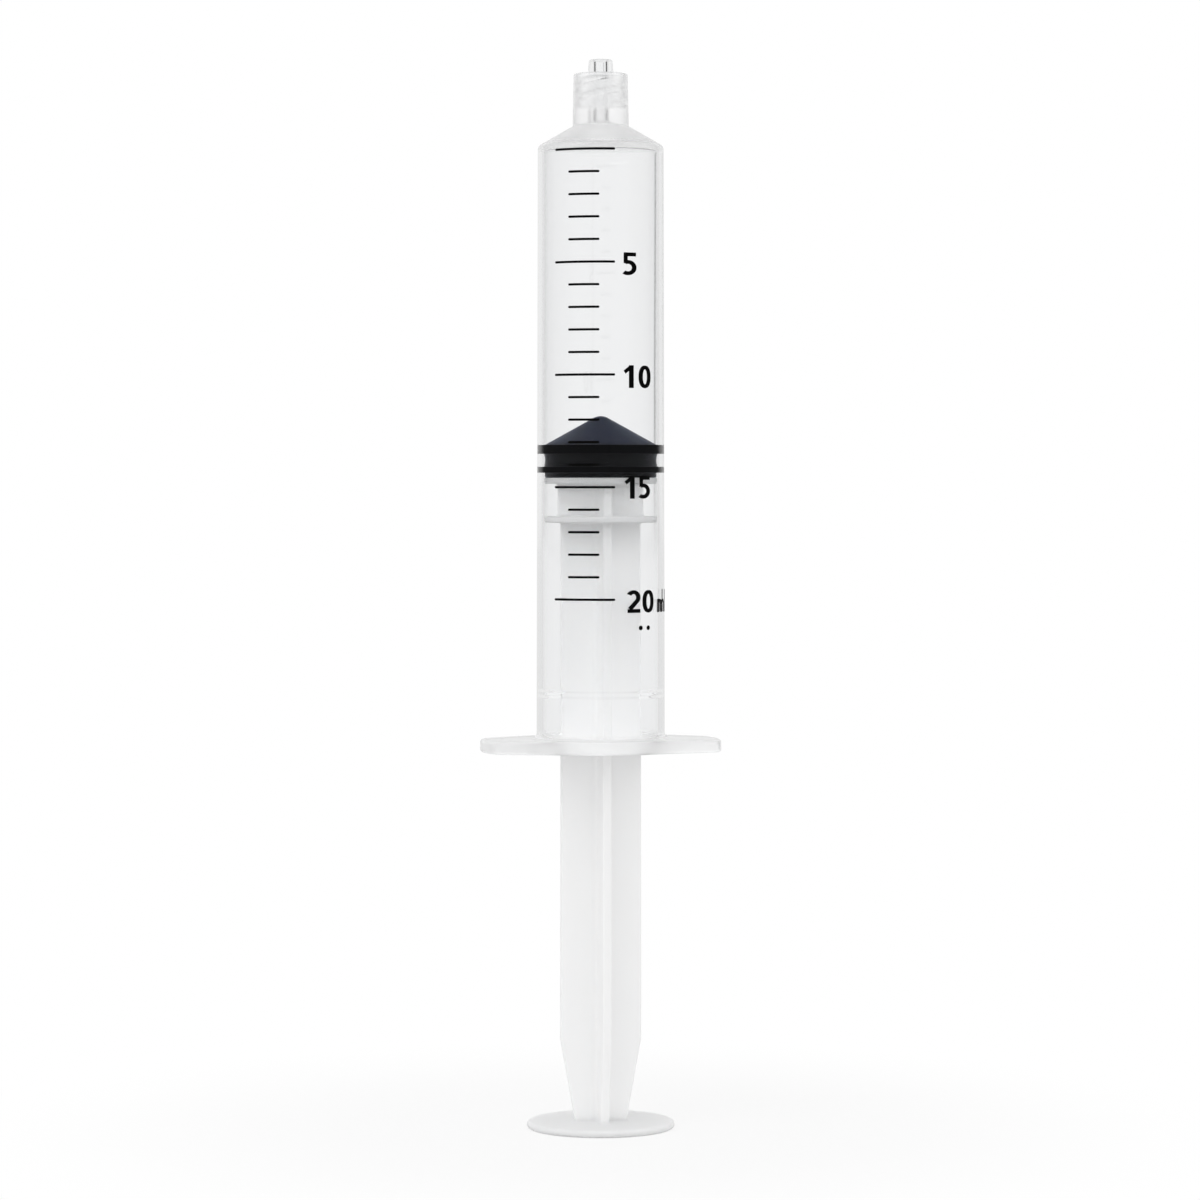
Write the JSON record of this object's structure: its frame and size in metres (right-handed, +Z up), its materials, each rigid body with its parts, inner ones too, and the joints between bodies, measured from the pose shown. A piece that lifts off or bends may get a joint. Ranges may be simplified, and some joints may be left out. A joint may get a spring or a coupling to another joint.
{
  "type": "luer lock syringe",
  "caption": "Disposable three-piece syringe with a clear graduated barrel, a finger flange, a threaded luer lock tip, a rubber stopper and a cross-ribbed plunger rod.",
  "frame": {"origin": "centre of the thumb disc's face, on which the syringe stands", "axes": "+Z up the barrel's axis to the luer tip, X along the finger flange, and the printed scale faces -Y"},
  "size_m": [0.0394, 0.0246, 0.1743],
  "materials": {
    "barrel_plastic": "clear polypropylene, smooth and faintly milky",
    "rod_plastic": "translucent white polypropylene, fine satin",
    "stopper_rubber": "smooth black-blue rubber with a silicone film",
    "scale_ink": "black printing ink"
  },
  "bodies": {
    "barrel": {"barrel": "barrel_plastic", "printed_scale": "scale_ink"},
    "stopper": {"stopper": "stopper_rubber"},
    "plunger_rod": {"plunger_rod": "rod_plastic"}
  },
  "joints": [
    {"name": "plunger_slide", "type": "slide", "parent": "barrel", "child": "stopper", "axis": [0, 0, 1], "range_m": [-0.03505, 0.0474]},
    {"name": "rod_swivel", "type": "hinge", "parent": "stopper", "child": "plunger_rod", "pos_m": [0, 0, 0.10638], "axis": [0, 0, 1], "continuous": true}
  ]
}
